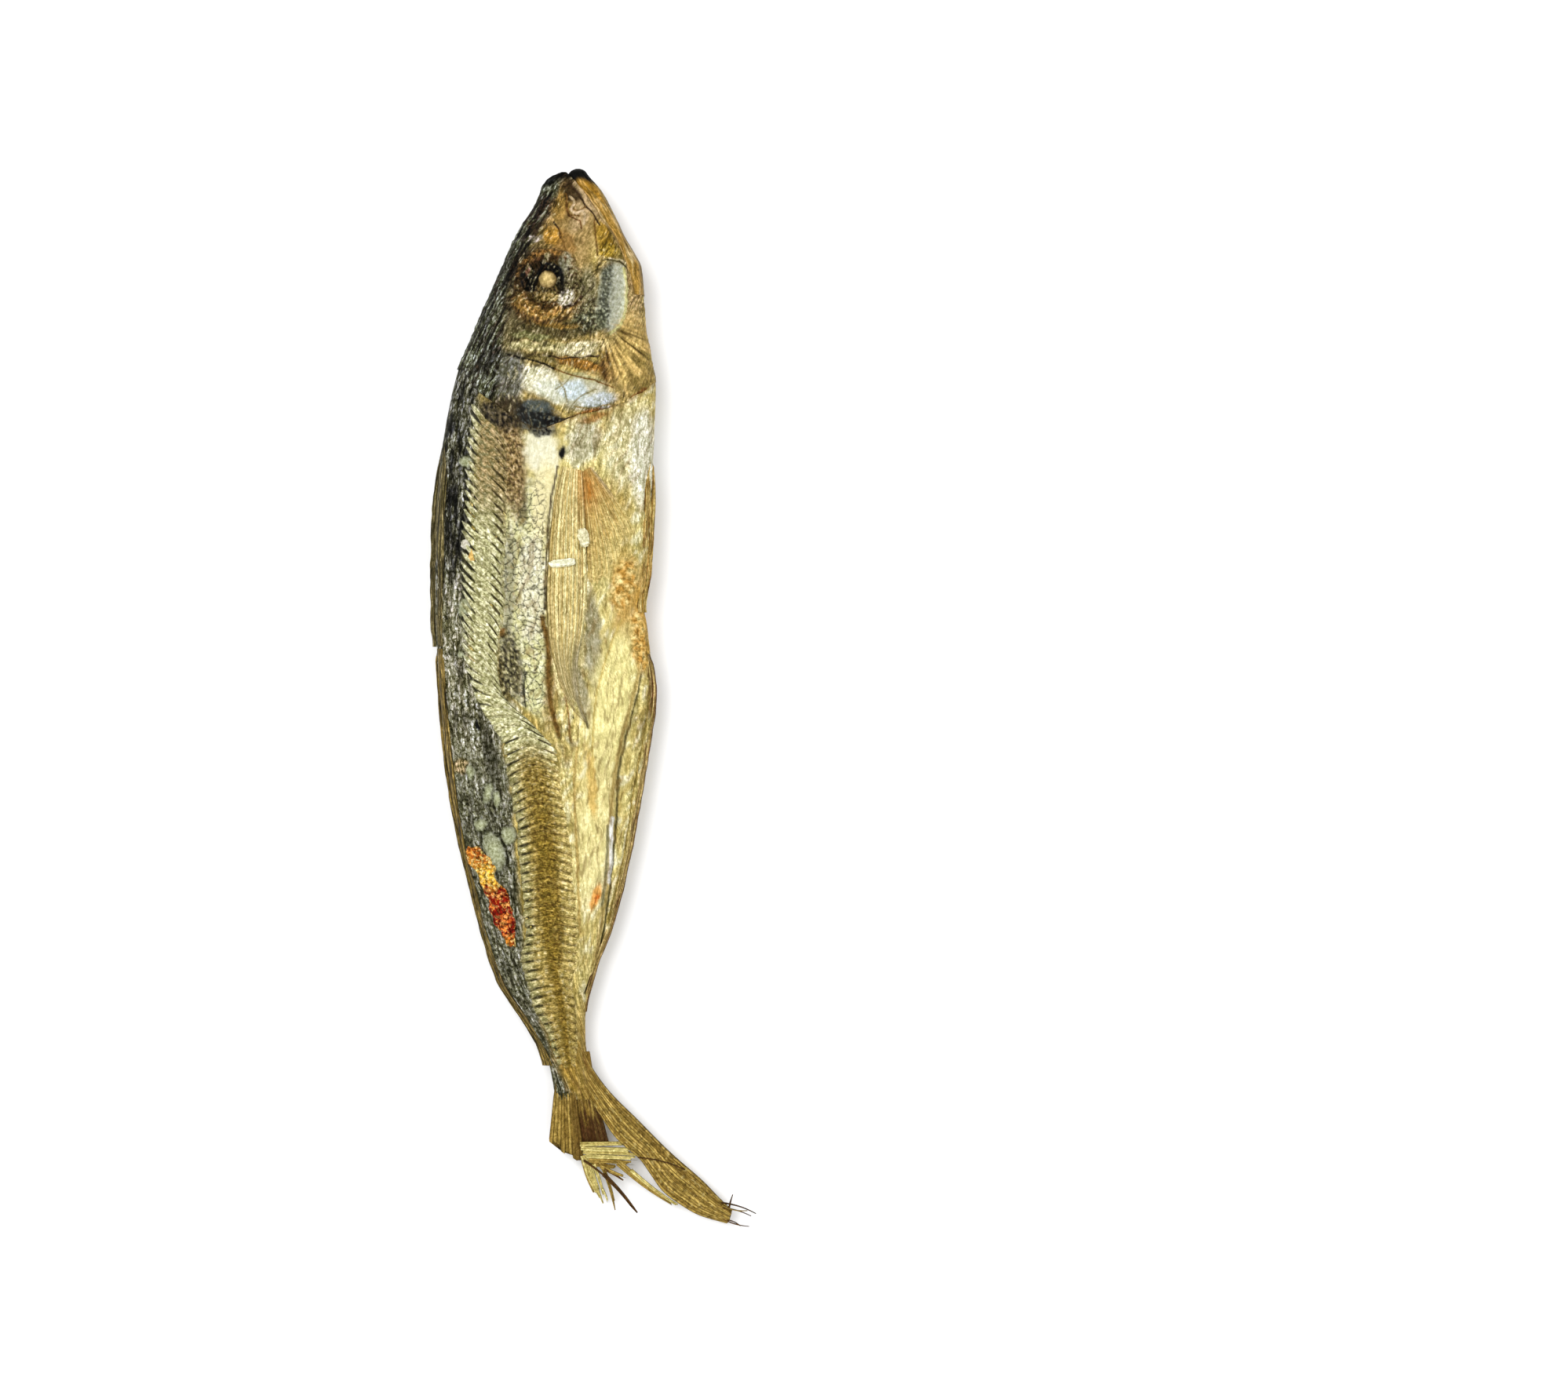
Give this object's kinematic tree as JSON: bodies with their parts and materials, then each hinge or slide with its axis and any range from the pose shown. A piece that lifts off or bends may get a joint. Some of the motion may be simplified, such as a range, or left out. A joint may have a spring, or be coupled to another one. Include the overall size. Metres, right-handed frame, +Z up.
{
  "type": "dried mackerel",
  "caption": "Whole dried mackerel lying on its flank, with a keeled scale line, folded fins, sunken eyes and a frayed forked tail.",
  "frame": {"origin": "on the ground under the middle of the fish's bounding box", "axes": "+Y towards the snout, +X towards the belly edge, +Z up out of the flank that shows"},
  "size_m": [0.0678, 0.2162, 0.0176],
  "materials": {
    "dried_skin": "hard dried skin, half-glossy, olive gold with a dark back"
  },
  "bodies": {
    "root": {"dried_mackerel": "dried_skin"}
  },
  "joints": []
}
